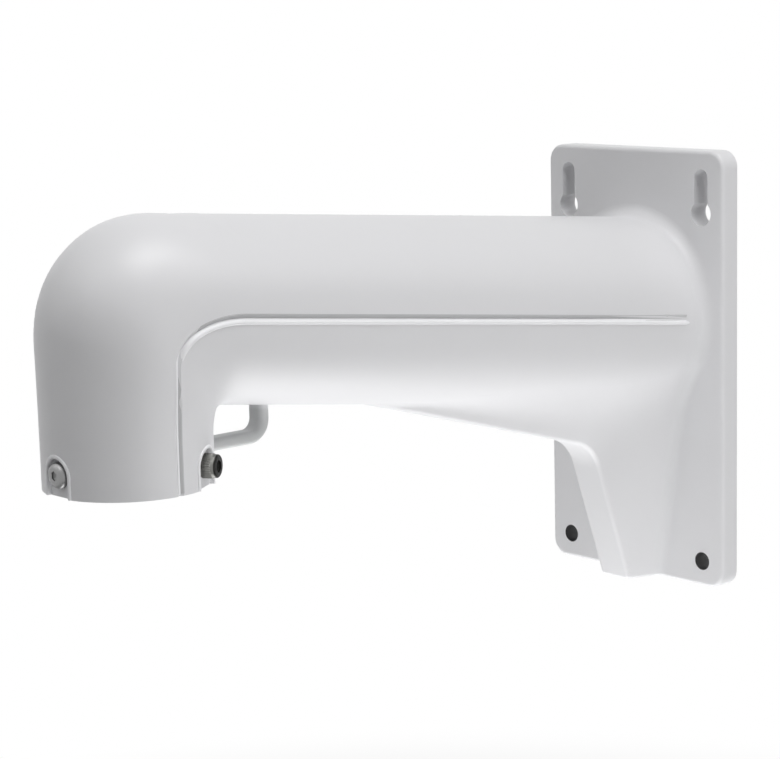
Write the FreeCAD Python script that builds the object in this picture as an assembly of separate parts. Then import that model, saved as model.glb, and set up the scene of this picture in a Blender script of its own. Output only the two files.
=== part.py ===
import FreeCAD, Part
import math
import os

from FreeCAD import Vector

# A cast aluminium bracket that holds a camera dome out from a wall.
# Frame: millimetres, +X out of the wall, +Z up. The origin is in the plane of the wall,
# midway between the two lower wall screws. Heights below are measured from the plate's
# middle, and the finished pieces are then raised to that origin.

# Wall plate
PLATE_WIDTH = 97.0
PLATE_HEIGHT = 182.6
PLATE_DEPTH = 9.3
PLATE_CORNER_RADIUS = 7.0
PLATE_EDGE_RADIUS = 1.6
PLATE_SKIN = 5.0
PLATE_RIM_WIDTH = 4.0

# Holes for the wall screws
LOWER_HOLE_FROM_SIDE = 11.0
LOWER_HOLE_RADIUS = 3.75
LOWER_HOLE_FROM_END = 10.5
LOWER_BOSS_RADIUS = 7.2
KEYHOLE_FROM_SIDE = 11.5
KEYHOLE_ENTRY_RADIUS = 5.2
KEYHOLE_SLOT_RADIUS = 3.6
KEYHOLE_SLOT_FROM_END = 11.0
KEYHOLE_DROP = 14.7
KEYHOLE_PAD_MARGIN = 3.0
KEYHOLE_PAD_RADIUS = 4.0

# Arm: a slender cone whose top line and widest line rise away from the wall. At the plate its
# half height is half the plate's width less a margin
REACH = 305.0
ARM_MIDDLE_AT_PLATE = 22.3
ARM_MIDDLE_RISE = 0.114
ARM_TOP_RISE = 0.0895
ARM_SIDE_MARGIN = 8.5
ARM_WALL = 2.25
COVE_RADIUS = 5.0

# Bend at the outer end of the arm: each curve runs from one straight line to the next
BEND_TOP_LENGTH = 44.4
BEND_TOP_DROP = 45.0
BEND_MIDDLE_LENGTH = 28.5
BEND_MIDDLE_DROP = 16.7
BEND_INNER_RADIUS = 6.0
BEND_WALL = 11.0
NARROWING_LENGTH = 50.0
SOCKET_DUCT_RADIUS = 23.4

# Socket that takes the dome's collar, open at the bottom
SOCKET_RIM_HEIGHT = -9.3
SOCKET_RADIUS = 30.3
SOCKET_BORE_RADIUS = 24.0
SOCKET_BORE_LENGTH = 17.0

# Groove along the widest line of the arm and the socket, on both sides
GROOVE_WIDTH = 2.6
GROOVE_DEPTH = 0.9
GROOVE_FROM_PLATE = 10.0

# Gusset under the arm: narrow along its free edge and wider inwards, with a margin between its
# side and the arm's side at a depth of the arm's half height
GUSSET_EDGE_HALF_WIDTH = 7.7
GUSSET_EDGE_RADIUS = 2.4
GUSSET_FOOT_LENGTH = 12.9
GUSSET_LEAN = 0.35
GUSSET_KEEL_AT_PLATE = -40.1
GUSSET_KEEL_RISE = 0.282
GUSSET_KNEE_RADIUS = 20.0
GUSSET_SIDE_MARGIN = 12.3
GUSSET_WALL = 3.4
GUSSET_CORE_LENGTH = 62.0

# Loop for the safety wire, in the corner between the arm and the socket
LOOP_WIDTH = 8.0
LOOP_THICKNESS = 4.8
LOOP_BOTTOM = -2.9
LOOP_FROM_AXIS = 61.9
LOOP_CORNER_RADIUS = 8.8
LOOP_EDGE_RADIUS = 2.1

# Three screws clamp the dome's collar, each on a flat seat cut into the rim
SCREW_COUNT = 3
SCREW_ABOVE_RIM = 7.7
SEAT_FROM_AXIS = 28.4
SEAT_HALF_WIDTH = 6.3
SEAT_EDGE_RADIUS = 0.8
SCREW_SHANK_RADIUS = 2.45
SCREW_HOLE_RADIUS = 2.5
SCREW_SHANK_LENGTH = 4.3
CAP_HEAD_RADIUS = 4.4
CAP_HEAD_HEIGHT = 5.9
CAP_HEAD_CHAMFER = 0.5
CAP_HEX_DEPTH = 2.6
BUTTON_HEAD_RADIUS = 4.75
BUTTON_HEAD_HEIGHT = 2.75
BUTTON_TOP_RADIUS = 2.6
BUTTON_HEX_DEPTH = 1.6
CAP_HEX_ACROSS_FLATS = 4.0
BUTTON_HEX_ACROSS_FLATS = 3.0

# How far the rough shapes run past the faces that cut them
SPARE = 20.0

# How finely the curved skin is described
STEPS_IN_BEND = 15

# Worked out from the sizes above
LOWER_HOLE_Y = PLATE_WIDTH / 2.0 - LOWER_HOLE_FROM_SIDE
LOWER_HOLE_Z = LOWER_HOLE_FROM_END - PLATE_HEIGHT / 2.0
KEYHOLE_Y = PLATE_WIDTH / 2.0 - KEYHOLE_FROM_SIDE
KEYHOLE_SLOT_Z = PLATE_HEIGHT / 2.0 - KEYHOLE_SLOT_FROM_END
KEYHOLE_ENTRY_Z = KEYHOLE_SLOT_Z - KEYHOLE_DROP
ARM_HALF_HEIGHT = PLATE_WIDTH / 2.0 - ARM_SIDE_MARGIN
ARM_TOP_AT_PLATE = ARM_MIDDLE_AT_PLATE + ARM_HALF_HEIGHT
GUSSET_SIDE_SPREAD = 1.0 - (GUSSET_SIDE_MARGIN + GUSSET_EDGE_HALF_WIDTH) / ARM_HALF_HEIGHT
SOCKET_AXIS = REACH - SOCKET_RADIUS
PIVOT_X = SOCKET_AXIS - SOCKET_RADIUS - BEND_INNER_RADIUS
SCREW_HEIGHT = SOCKET_RIM_HEIGHT + SCREW_ABOVE_RIM
ARM_BOTTOM_RISE = 2.0 * ARM_MIDDLE_RISE - ARM_TOP_RISE
ARM_APEX_X = PLATE_DEPTH + ARM_HALF_HEIGHT / (ARM_MIDDLE_RISE - ARM_TOP_RISE)
ARM_APEX_Z = ARM_MIDDLE_AT_PLATE + ARM_MIDDLE_RISE * (ARM_APEX_X - PLATE_DEPTH)
ARM_AXIS_ANGLE = (math.atan(ARM_BOTTOM_RISE) + math.atan(ARM_TOP_RISE)) / 2.0
ARM_CONE_ANGLE = (math.atan(ARM_BOTTOM_RISE) - math.atan(ARM_TOP_RISE)) / 2.0


def arm_top(x):
    """Height of the arm's top line at a distance from the wall."""
    return ARM_TOP_AT_PLATE + ARM_TOP_RISE * (x - PLATE_DEPTH)


def arm_middle(x):
    """Height of the arm's widest line at a distance from the wall."""
    return ARM_MIDDLE_AT_PLATE + ARM_MIDDLE_RISE * (x - PLATE_DEPTH)


def arm_bottom(x):
    """Height of the arm's bottom line, as far below the widest line as the top is above it."""
    return 2.0 * arm_middle(x) - arm_top(x)


def arm_half_width(x):
    """Half the arm's width at a distance from the wall, on a round cone with a leaning axis."""
    sine = math.sin(ARM_AXIS_ANGLE)
    cosine = math.cos(ARM_AXIS_ANGLE)
    along = cosine + ARM_MIDDLE_RISE * sine
    across = ARM_MIDDLE_RISE * cosine - sine
    radius = along * math.tan(ARM_CONE_ANGLE)
    return (ARM_APEX_X - x) * math.sqrt(radius * radius - across * across)


PIVOT_Z = arm_bottom(PIVOT_X) - BEND_INNER_RADIUS


def bend_distance(angle, corner_x, corner_z, rise, length, drop):
    """Distance from the pivot to a line that bends down, at an angle from straight up.

    The line comes in with a slope, leaves it a length before the corner, follows a quarter
    of an ellipse and ends straight down, a drop below the corner.
    """
    sine = math.sin(angle)
    cosine = math.cos(angle)
    base_z = corner_z - rise * (corner_x - PIVOT_X)
    along_line = (base_z - PIVOT_Z) / (cosine - rise * sine) if cosine > rise * sine else 0.0
    if along_line > 0.0 and PIVOT_X + along_line * sine <= corner_x - length:
        return along_line
    if sine > 0.0:
        down_line = (corner_x - PIVOT_X) / sine
        if PIVOT_Z + down_line * cosine <= corner_z - drop:
            return down_line
    low = 0.0
    high = math.pi / 2.0
    for step in range(50):
        middle = (low + high) / 2.0
        x = corner_x - length * (1.0 - math.sin(middle)) - PIVOT_X
        z = corner_z - length * rise * (1.0 - math.sin(middle)) - PIVOT_Z
        z = z - drop * (1.0 - math.cos(middle))
        if x * cosine - z * sine < 0.0:
            low = middle
        else:
            high = middle
    return math.hypot(x, z)


def smooth_step(share):
    """Rises from 0 to 1 with level ends."""
    return share * share * (3.0 - 2.0 * share)


def bend_section(angle):
    """Inner, widest and outer distance from the pivot, and half width, at an angle."""
    outer = bend_distance(angle, REACH, arm_top(REACH), ARM_TOP_RISE,
                          BEND_TOP_LENGTH, BEND_TOP_DROP)
    widest = bend_distance(angle, SOCKET_AXIS, arm_middle(SOCKET_AXIS), ARM_MIDDLE_RISE,
                           BEND_MIDDLE_LENGTH, BEND_MIDDLE_DROP)
    share = smooth_step(angle / (math.pi / 2.0))
    half_width = arm_half_width(PIVOT_X)
    half_width = half_width + share * (SOCKET_RADIUS - half_width)
    return BEND_INNER_RADIUS, widest, outer, half_width


def half_ellipse(middle, upward, half_width):
    """Half of an ellipse about a middle point, on the side of the upward vector."""
    sideways = Vector(0, half_width, 0)
    if upward.Length > half_width:
        oval = Part.Ellipse(middle + upward, middle + sideways, middle)
    else:
        oval = Part.Ellipse(middle + sideways, middle + upward, middle)
    turns = sorted([oval.parameter(middle + sideways), oval.parameter(middle - sideways)])
    if turns[0] < oval.parameter(middle + upward) < turns[1]:
        return Part.ArcOfEllipse(oval, turns[0], turns[1]).toShape()
    return Part.ArcOfEllipse(oval, turns[1], turns[0] + 2.0 * math.pi).toShape()


def arm_cone(start_x, end_x, wall):
    """The arm's cone between two upright planes, made smaller by a wall."""
    along = Vector(math.cos(ARM_AXIS_ANGLE), 0, math.sin(ARM_AXIS_ANGLE))
    apex = Vector(ARM_APEX_X, 0, ARM_APEX_Z)
    far = ARM_APEX_X - start_x + 1.5 * SPARE
    near = ARM_APEX_X - end_x - 1.5 * SPARE
    smaller = wall / math.cos(ARM_CONE_ANGLE)
    far_radius = far * math.tan(ARM_CONE_ANGLE) - smaller
    near_radius = near * math.tan(ARM_CONE_ANGLE) - smaller
    cone = Part.makeCone(far_radius, near_radius, far - near, apex - along * far, along)
    return cone.common(block(start_x, end_x, PLATE_WIDTH, -PLATE_HEIGHT, PLATE_HEIGHT))


def bend_ring(angle):
    """Two half ellipses that meet at the widest line of the bend."""
    inner, widest, outer, half_width = bend_section(angle)
    outward = Vector(math.sin(angle), 0, math.cos(angle))
    middle = Vector(PIVOT_X, 0, PIVOT_Z) + outward * widest
    far_half = half_ellipse(middle, outward * (outer - widest), half_width)
    near_half = half_ellipse(middle, outward * (inner - widest), half_width)
    return Part.Wire([far_half, near_half])


def tube(start_x):
    """The arm, its bend and the socket down to the rim, as one solid."""
    rings = []
    for number in range(STEPS_IN_BEND):
        share = number / (STEPS_IN_BEND - 1.0)
        rings.append(bend_ring(share * math.pi / 2.0))
    bend = Part.makeLoft(rings, True, False)
    down = Part.Face(rings[-1]).extrude(Vector(0, 0, SOCKET_RIM_HEIGHT - PIVOT_Z))
    return arm_cone(start_x, PIVOT_X, 0.0).fuse([bend, down])


def duct():
    """The way through the arm, round the bend and down to the rim."""
    along = Vector(math.cos(ARM_AXIS_ANGLE), 0, math.sin(ARM_AXIS_ANGLE))
    start = Vector(PIVOT_X, 0, arm_middle(PIVOT_X))
    start_radius = arm_half_width(PIVOT_X) - ARM_WALL - 0.5
    narrowing = Part.makeCone(start_radius, SOCKET_DUCT_RADIUS - 2.0, NARROWING_LENGTH, start, along)
    base = Vector(SOCKET_AXIS, 0, SOCKET_RIM_HEIGHT - 1.0)
    down_length = arm_middle(SOCKET_AXIS) - BEND_WALL - base.z
    down = Part.makeCylinder(SOCKET_DUCT_RADIUS, down_length, base)
    # a slanting roof across the outer corner of the bend
    slant = math.pi / 4.0
    distance = bend_section(slant)[2] - BEND_WALL
    roof = Vector(PIVOT_X + distance * math.sin(slant), 0, PIVOT_Z + distance * math.cos(slant))
    above = block(-PLATE_WIDTH, PLATE_WIDTH, PLATE_WIDTH, 0.0, 2.0 * PLATE_WIDTH)
    above.Placement = FreeCAD.Placement(roof, FreeCAD.Rotation(Vector(0, 1, 0), 45.0))
    bend = narrowing.fuse(down).cut(above)
    bore = Part.makeCylinder(SOCKET_BORE_RADIUS, SOCKET_BORE_LENGTH + 1.0, base)
    return arm_cone(-1.0, PIVOT_X + 4.0, ARM_WALL).fuse([bend, bore])


def gusset_outline(inset, y):
    """Outline of the gusset in a plane across Y, moved in from its free edge by an inset."""
    lean_length = math.hypot(1.0, GUSSET_LEAN)
    rise_length = math.hypot(1.0, GUSSET_KEEL_RISE)
    edge_x = PLATE_DEPTH + GUSSET_FOOT_LENGTH - inset * lean_length
    keel_z = GUSSET_KEEL_AT_PLATE + inset * rise_length
    foot_z = -PLATE_HEIGHT / 2.0
    # where the leaning edge meets the keel line
    corner_x = edge_x + GUSSET_LEAN * (keel_z - GUSSET_KEEL_RISE * PLATE_DEPTH - foot_z)
    corner_x = corner_x / (1.0 - GUSSET_LEAN * GUSSET_KEEL_RISE)
    corner_z = keel_z + GUSSET_KEEL_RISE * (corner_x - PLATE_DEPTH)
    lean_angle = math.atan2(1.0, GUSSET_LEAN)
    rise_angle = math.atan(GUSSET_KEEL_RISE)
    turn = lean_angle - rise_angle
    radius = GUSSET_KNEE_RADIUS + inset
    tangent = radius * math.tan(turn / 2.0)
    low = Vector(corner_x - tangent * math.cos(lean_angle), y,
                 corner_z - tangent * math.sin(lean_angle))
    high = Vector(corner_x + tangent * math.cos(rise_angle), y,
                  corner_z + tangent * math.sin(rise_angle))
    sideways = (lean_angle + rise_angle) / 2.0
    sag = radius * (1.0 / math.cos(turn / 2.0) - 1.0)
    knee = Vector(corner_x + sag * math.cos(sideways - math.pi / 2.0), y,
                  corner_z + sag * math.sin(sideways - math.pi / 2.0))
    start_z = foot_z - 2.0 * SPARE
    start = Vector(edge_x - 2.0 * SPARE * GUSSET_LEAN, y, start_z)
    end = Vector(PIVOT_X, y, keel_z + GUSSET_KEEL_RISE * (PIVOT_X - PLATE_DEPTH))
    roof = Vector(PIVOT_X, y, arm_top(PIVOT_X))
    back_roof = Vector(-PLATE_WIDTH, y, arm_top(PIVOT_X))
    back_start = Vector(-PLATE_WIDTH, y, start_z)
    edges = [
        Part.makeLine(start, low),
        Part.Arc(low, knee, high).toShape(),
        Part.makeLine(high, end),
        Part.makeLine(end, roof),
        Part.makeLine(roof, back_roof),
        Part.makeLine(back_roof, back_start),
        Part.makeLine(back_start, start),
    ]
    return Part.Wire(edges)


def gusset(inset, narrower):
    """The gusset as a solid that widens inwards from its free edge."""
    half = GUSSET_EDGE_HALF_WIDTH - narrower
    deep = ARM_HALF_HEIGHT + SPARE
    wide = half + GUSSET_SIDE_SPREAD * deep
    outlines = [
        gusset_outline(inset + deep, -wide),
        gusset_outline(inset, -half),
        gusset_outline(inset, half),
        gusset_outline(inset + deep, wide),
    ]
    return Part.makeLoft(outlines, True, True)


def block(low_x, high_x, half_y, low_z, high_z):
    """Box that is even about the middle plane."""
    corner = Vector(low_x, -half_y, low_z)
    return Part.makeBox(high_x - low_x, 2.0 * half_y, high_z - low_z, corner)


def rounded_plate(width, height, radius, low_x, high_x):
    """Slab across X with rounded corners."""
    slab = block(low_x, high_x, width / 2.0, -height / 2.0, height / 2.0)
    corners = []
    for edge in slab.Edges:
        first = edge.Vertexes[0].Point
        last = edge.Vertexes[-1].Point
        if abs(first.y - last.y) < 1e-6 and abs(first.z - last.z) < 1e-6:
            corners.append(edge)
    return slab.makeFillet(radius, corners)


def peg(radius, low_x, high_x, y, z):
    """Round bar along X."""
    return Part.makeCylinder(radius, high_x - low_x, Vector(low_x, y, z), Vector(1, 0, 0))


def groove_cutter(side):
    """Bar with a V section that follows the widest line on one side."""
    sections = []
    first_x = PLATE_DEPTH + GROOVE_FROM_PLATE
    places = []
    for share in (0.0, 0.25, 0.5, 0.75, 1.0):
        x = first_x + share * (PIVOT_X - first_x)
        depth = GROOVE_DEPTH if share > 0.0 else 0.0
        places.append((x, arm_middle(x), 0.0, arm_half_width(x), depth))
    for number in range(1, STEPS_IN_BEND):
        angle = number / (STEPS_IN_BEND - 1.0) * math.pi / 2.0
        inner, widest, outer, half_width = bend_section(angle)
        x = PIVOT_X + widest * math.sin(angle)
        z = PIVOT_Z + widest * math.cos(angle)
        places.append((x, z, angle, half_width, GROOVE_DEPTH))
    last_angle = math.pi / 2.0
    places.append((SOCKET_AXIS, SOCKET_RIM_HEIGHT - 2.0, last_angle, SOCKET_RADIUS, GROOVE_DEPTH))
    for x, z, angle, half_width, depth in places:
        over = 1.0
        half = GROOVE_WIDTH / 2.0 * (1.0 + over / GROOVE_DEPTH)
        rise_x = half * math.sin(angle)
        rise_z = half * math.cos(angle)
        bottom = Vector(x, side * (half_width - depth), z)
        upper = Vector(x + rise_x, side * (half_width + over), z + rise_z)
        lower = Vector(x - rise_x, side * (half_width + over), z - rise_z)
        sections.append(Part.makePolygon([bottom, upper, lower, bottom]))
    return sections


def hex_bar(across_flats, length, base, direction):
    """Six-sided bar from a base point along a direction."""
    corner = across_flats / math.sqrt(3.0)
    points = []
    for number in range(7):
        turn = math.radians(60.0 * number)
        points.append(Vector(corner * math.cos(turn), corner * math.sin(turn), 0))
    bar = Part.Face(Part.makePolygon(points)).extrude(Vector(0, 0, length))
    bar.Placement = FreeCAD.Placement(base, FreeCAD.Rotation(Vector(0, 0, 1), direction))
    return bar


def around_socket(shape, degrees):
    """Shape turned about the socket's axis."""
    turned = shape.copy()
    turned.rotate(Vector(SOCKET_AXIS, 0, 0), Vector(0, 0, 1), degrees)
    return turned


def seat_cutter():
    """Flat seat with an arched top, open at the rim, facing +X."""
    low = SEAT_FROM_AXIS + SOCKET_AXIS
    length = 8.0
    arch = peg(SEAT_HALF_WIDTH, low, low + length, 0.0, SCREW_HEIGHT)
    below = block(low, low + length, SEAT_HALF_WIDTH, SOCKET_RIM_HEIGHT - 5.0, SCREW_HEIGHT)
    return arch.fuse(below)


def seat_edges(body):
    """Edges where the seats cut the round outside of the socket."""
    found = []
    for edge in body.Edges:
        box = edge.BoundBox
        if box.ZMax > SCREW_HEIGHT + SEAT_HALF_WIDTH + 0.5 or box.ZMax - box.ZMin < 1.0:
            continue
        length = edge.LastParameter - edge.FirstParameter
        outside = True
        for share in (0.0, 0.5, 1.0):
            point = edge.valueAt(edge.FirstParameter + share * length)
            reach = math.hypot(point.x - SOCKET_AXIS, point.y)
            outside = outside and abs(reach - SOCKET_RADIUS) < 0.02
        middle = edge.valueAt(edge.FirstParameter + 0.5 * length)
        turn = math.degrees(math.atan2(middle.y, middle.x - SOCKET_AXIS))
        off = abs((turn + 180.0 / SCREW_COUNT) % (360.0 / SCREW_COUNT) - 180.0 / SCREW_COUNT)
        widest = math.degrees(math.asin(SEAT_HALF_WIDTH / SOCKET_RADIUS)) + 0.5
        if outside and off < widest:
            found.append(edge)
    return found


def button_screw():
    """Low domed screw with a hexagon socket, facing +X."""
    seat = SOCKET_AXIS + SEAT_FROM_AXIS
    profile = [
        (-SCREW_SHANK_LENGTH, 0.0),
        (-SCREW_SHANK_LENGTH, SCREW_SHANK_RADIUS - 0.5),
        (0.5 - SCREW_SHANK_LENGTH, SCREW_SHANK_RADIUS),
        (0.0, SCREW_SHANK_RADIUS),
        (0.0, BUTTON_HEAD_RADIUS),
        (0.25 * BUTTON_HEAD_HEIGHT, BUTTON_HEAD_RADIUS),
        (0.72 * BUTTON_HEAD_HEIGHT, 0.86 * BUTTON_HEAD_RADIUS),
        (BUTTON_HEAD_HEIGHT, BUTTON_TOP_RADIUS),
        (BUTTON_HEAD_HEIGHT, 0.0),
        (-SCREW_SHANK_LENGTH, 0.0),
    ]
    points = [Vector(seat + along, 0, SCREW_HEIGHT + radius) for along, radius in profile]
    face = Part.Face(Part.makePolygon(points))
    body = face.revolve(Vector(0, 0, SCREW_HEIGHT), Vector(1, 0, 0), 360)
    base = Vector(seat + BUTTON_HEAD_HEIGHT - BUTTON_HEX_DEPTH, 0, SCREW_HEIGHT)
    return body.cut(hex_bar(BUTTON_HEX_ACROSS_FLATS, 5.0, base, Vector(1, 0, 0)))


def cap_screw():
    """Screw with a tall round head and a hexagon socket, facing +X."""
    seat = SOCKET_AXIS + SEAT_FROM_AXIS
    shank = peg(SCREW_SHANK_RADIUS, seat - SCREW_SHANK_LENGTH, seat + 1.0, 0.0, SCREW_HEIGHT)
    tip = [edge for edge in shank.Edges if abs(edge.BoundBox.XMax - seat + SCREW_SHANK_LENGTH) < 0.01]
    shank = shank.makeChamfer(0.5, tip)
    head = peg(CAP_HEAD_RADIUS, seat, seat + CAP_HEAD_HEIGHT, 0.0, SCREW_HEIGHT)
    rim = [edge for edge in head.Edges if edge.BoundBox.XMin > seat + CAP_HEAD_HEIGHT - 0.01]
    head = head.makeChamfer(CAP_HEAD_CHAMFER, rim)
    base = Vector(seat + CAP_HEAD_HEIGHT - CAP_HEX_DEPTH, 0, SCREW_HEIGHT)
    socket = hex_bar(CAP_HEX_ACROSS_FLATS, 5.0, base, Vector(1, 0, 0))
    return shank.fuse(head).cut(socket)


def level_with(value, other):
    """True where two numbers agree to a hundredth of a millimetre."""
    return abs(value - other) < 0.01


def gusset_solid():
    """The gusset with its two long free edges rounded, cut level with the arm's middle."""
    rough = gusset(0.0, 0.0)
    long_edges = []
    for edge in rough.Edges:
        box = edge.BoundBox
        free = level_with(abs(box.YMin), GUSSET_EDGE_HALF_WIDTH) and level_with(box.YMin, box.YMax)
        if free and -SPARE * 2.5 < box.XMin < PIVOT_X - 1.0 and box.ZMax < arm_middle(PIVOT_X):
            long_edges.append(edge)
    rounded = rough.makeFillet(GUSSET_EDGE_RADIUS, long_edges)
    near = PLATE_DEPTH / 4.0
    far = PIVOT_X - 5.0
    low = -PLATE_HEIGHT / 2.0 - SPARE
    side = -PLATE_WIDTH
    region = Part.makePolygon([
        Vector(near, side, low),
        Vector(far, side, low),
        Vector(far, side, arm_middle(far)),
        Vector(near, side, arm_middle(near)),
        Vector(near, side, low),
    ])
    return rounded.common(Part.Face(region).extrude(Vector(0, -2.0 * side, 0)))


def joint_edges(body, one, other):
    """Edges in front of the plate where the outsides of two solids meet."""
    found = []
    for edge in body.Edges:
        box = edge.BoundBox
        if box.XMin < PLATE_DEPTH - 0.01 or box.XMax > PIVOT_X or box.XMax - box.XMin < 0.5:
            continue
        middle = edge.valueAt((edge.FirstParameter + edge.LastParameter) / 2.0)
        point = Part.Vertex(middle)
        if one.distToShape(point)[0] < 0.01 and other.distToShape(point)[0] < 0.01:
            found.append(edge)
    return found


def foot_edges(body):
    """Edges where the arm and the gusset stand on the front of the plate."""
    found = []
    for edge in body.Edges:
        box = edge.BoundBox
        on_front = level_with(box.XMin, PLATE_DEPTH) and level_with(box.XMax, PLATE_DEPTH)
        inside = box.YMax < PLATE_WIDTH / 2.0 - 1.0 and box.YMin > 1.0 - PLATE_WIDTH / 2.0
        if on_front and inside and box.ZMax - box.ZMin > 0.01:
            found.append(edge)
    return found


def front_outline(body, outline):
    """Edges around the front of the plate and around the foot of the gusset."""
    found = []
    for edge in body.Edges:
        middle = Part.Vertex(edge.valueAt((edge.FirstParameter + edge.LastParameter) / 2.0))
        in_front = edge.BoundBox.XMin > PLATE_DEPTH - 0.01
        if in_front and outline.Shells[0].distToShape(middle)[0] < 0.01:
            found.append(edge)
    return found


def wire_loop():
    """Closed loop between the arm and the socket for the safety wire."""
    low_x = SOCKET_AXIS - LOOP_FROM_AXIS
    high_x = SOCKET_AXIS - SOCKET_RADIUS + 2.5
    top_z = arm_bottom(low_x) + 2.2
    outer = block(low_x, high_x, LOOP_WIDTH / 2.0, LOOP_BOTTOM, top_z)
    inner = block(low_x + LOOP_THICKNESS, high_x + 5.0, LOOP_WIDTH, LOOP_BOTTOM + LOOP_THICKNESS,
                  top_z + 5.0)

    def low_corner(solid):
        found = []
        for edge in solid.Edges:
            box = edge.BoundBox
            if level_with(box.XMax, solid.BoundBox.XMin) and level_with(box.ZMax, solid.BoundBox.ZMin):
                found.append(edge)
        return found

    outer = outer.makeFillet(LOOP_CORNER_RADIUS, low_corner(outer))
    inner = inner.makeFillet(LOOP_CORNER_RADIUS - LOOP_THICKNESS, low_corner(inner))
    band = outer.cut(inner)
    rims = []
    for edge in band.Edges:
        box = edge.BoundBox
        if level_with(abs(box.YMin), LOOP_WIDTH / 2.0) and level_with(box.YMin, box.YMax):
            on_end = level_with(box.XMin, high_x) or level_with(box.ZMin, top_z)
            if not on_end:
                rims.append(edge)
    return band.makeFillet(LOOP_EDGE_RADIUS, rims)


def keyhole_pads(deep):
    """Thick corners at the top of the plate, around the keyholes, as one wide block with a gap."""
    margin = KEYHOLE_ENTRY_RADIUS + KEYHOLE_PAD_MARGIN
    inner_y = KEYHOLE_Y - margin
    low_z = KEYHOLE_ENTRY_Z - margin
    wide = block(-2.0, deep + 1.0, PLATE_WIDTH, low_z, PLATE_HEIGHT)
    pads = wide.cut(block(-3.0, deep + 2.0, inner_y, low_z - 1.0, PLATE_HEIGHT + 1.0))
    corners = []
    for edge in pads.Edges:
        box = edge.BoundBox
        along_x = level_with(box.ZMin, low_z) and level_with(box.ZMax, low_z)
        if along_x and level_with(abs(box.YMin), inner_y) and level_with(box.YMin, box.YMax):
            corners.append(edge)
    return pads.makeFillet(KEYHOLE_PAD_RADIUS, corners)


def back_pocket():
    """Recess in the plate's back, with bosses left at the lower holes and the keyholes."""
    deep = PLATE_DEPTH - PLATE_SKIN
    width = PLATE_WIDTH - 2.0 * PLATE_RIM_WIDTH
    height = PLATE_HEIGHT - 2.0 * PLATE_RIM_WIDTH
    radius = PLATE_CORNER_RADIUS - PLATE_RIM_WIDTH
    pocket = rounded_plate(width, height, radius, -1.0, deep)
    bosses = []
    for side in (-1.0, 1.0):
        y = side * LOWER_HOLE_Y
        bosses.append(peg(LOWER_BOSS_RADIUS, -2.0, deep + 1.0, y, LOWER_HOLE_Z))
    return pocket.cut(bosses[0]).cut(bosses[1]).cut(keyhole_pads(deep))


def wall_holes():
    """Two keyholes at the top of the plate and two round holes at the bottom."""
    cutters = []
    for side in (-1.0, 1.0):
        y = side * LOWER_HOLE_Y
        cutters.append(peg(LOWER_HOLE_RADIUS, -1.0, PLATE_DEPTH + 1.0, y, LOWER_HOLE_Z))
        y = side * KEYHOLE_Y
        entry = peg(KEYHOLE_ENTRY_RADIUS, -1.0, PLATE_DEPTH + 1.0, y, KEYHOLE_ENTRY_Z)
        end = peg(KEYHOLE_SLOT_RADIUS, -1.0, PLATE_DEPTH + 1.0, y, KEYHOLE_SLOT_Z)
        corner = Vector(-1.0, y - KEYHOLE_SLOT_RADIUS, KEYHOLE_ENTRY_Z)
        slot = Part.makeBox(PLATE_DEPTH + 2.0, 2.0 * KEYHOLE_SLOT_RADIUS, KEYHOLE_DROP, corner)
        cutters.append(entry.fuse([end, slot]))
    return cutters


def gusset_core(arm_outside):
    """Hollow of the gusset, open at the back of the plate."""
    rough = gusset(GUSSET_WALL, GUSSET_WALL * 0.8)
    low = -PLATE_HEIGHT / 2.0 + GUSSET_WALL
    region = block(-1.0, PLATE_DEPTH + GUSSET_CORE_LENGTH, 40.0, low, arm_middle(0.0))
    return rough.common(region).cut(arm_outside)


def casting():
    """The bracket itself, in one piece."""
    arm = tube(PLATE_DEPTH / 4.0)
    web = gusset_solid()
    tall = PLATE_HEIGHT / 2.0 + 0.9 * SPARE
    corner = Vector(0, -PLATE_WIDTH / 2.0, -tall)
    slab = Part.makeBox(PLATE_DEPTH, PLATE_WIDTH, tall + PLATE_HEIGHT / 2.0, corner)
    body = slab.fuse([arm, web])
    coves = foot_edges(body) + joint_edges(body, arm.Shells[0], web.Shells[0])
    body = body.makeFillet(COVE_RADIUS, coves)
    outline = rounded_plate(PLATE_WIDTH, PLATE_HEIGHT, PLATE_CORNER_RADIUS, 0.0, REACH + 20.0)
    body = body.common(outline)
    body = body.makeFillet(PLATE_EDGE_RADIUS, front_outline(body, outline))
    body = body.fuse(wire_loop())

    body = body.cut(duct())
    body = body.cut(back_pocket())
    body = body.cut(gusset_core(arm_cone(-2.0, PIVOT_X, 0.0)))
    for cutter in wall_holes():
        body = body.cut(cutter)
    seat = seat_cutter()
    first = SOCKET_AXIS + SOCKET_BORE_RADIUS - 2.0
    hole = peg(SCREW_HOLE_RADIUS, first, first + 12.0, 0.0, SCREW_HEIGHT)
    for number in range(SCREW_COUNT):
        turn = 360.0 * number / SCREW_COUNT
        body = body.cut(around_socket(seat, turn)).cut(around_socket(hole, turn))
    body = body.makeFillet(SEAT_EDGE_RADIUS, seat_edges(body))
    for side in (-1.0, 1.0):
        sections = groove_cutter(side)
        straight = Part.makeLoft(sections[:5], True, True)
        bent = Part.makeLoft(sections[4:4 + STEPS_IN_BEND], True, False)
        down = Part.makeLoft(sections[-2:], True, True)
        body = body.cut(straight).cut(bent).cut(down)
    return body


os.makedirs("parts", exist_ok=True)
bracket = casting()
front = button_screw()
side = cap_screw()
turned = []
for number in range(1, SCREW_COUNT):
    turned.append(around_socket(side, 360.0 * number / SCREW_COUNT))
sides = Part.makeCompound(turned)
raise_by = Vector(0, 0, -LOWER_HOLE_Z)
for piece, name in ((bracket, "bracket_casting"), (front, "front_button_screw"),
                    (sides, "side_cap_screws")):
    piece.translate(raise_by)
    piece.exportStep("parts/" + name + ".step")
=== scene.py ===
"""Camera wall bracket: a cast arm with its three clamping screws, on a plain pale stage."""

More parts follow.
